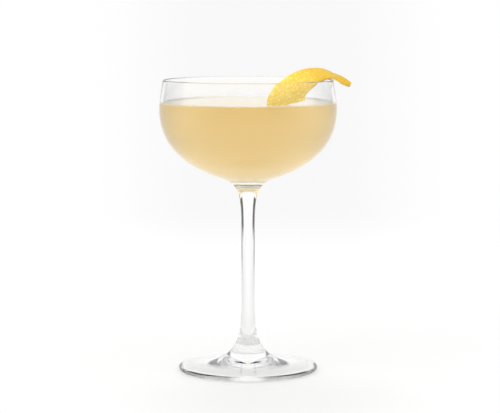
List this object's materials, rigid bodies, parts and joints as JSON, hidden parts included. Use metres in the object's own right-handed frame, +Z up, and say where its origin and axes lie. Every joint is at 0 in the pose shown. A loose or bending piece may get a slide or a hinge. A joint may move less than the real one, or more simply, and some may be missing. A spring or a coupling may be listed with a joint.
{
  "type": "cocktail in a coupe glass",
  "caption": "Clear stemmed coupe glass filled near its widest point with a pale golden cocktail, with a strip of lemon peel hooked over the rim.",
  "frame": {"origin": "middle of the foot's flat underside, at table level", "axes": "+Z up along the stem; -Y towards the viewer; the peel hangs over the rim at +X"},
  "size_m": [0.0988, 0.0912, 0.1566],
  "materials": {
    "clear_glass": "clear blown glass, polished",
    "pale_gold_drink": "pale golden liquid, slightly cloudy",
    "lemon_peel": "waxy dimpled yellow zest over white pith"
  },
  "bodies": {
    "root": {"glass": "clear_glass", "drink": "pale_gold_drink", "lemon_twist": "lemon_peel"}
  },
  "joints": []
}
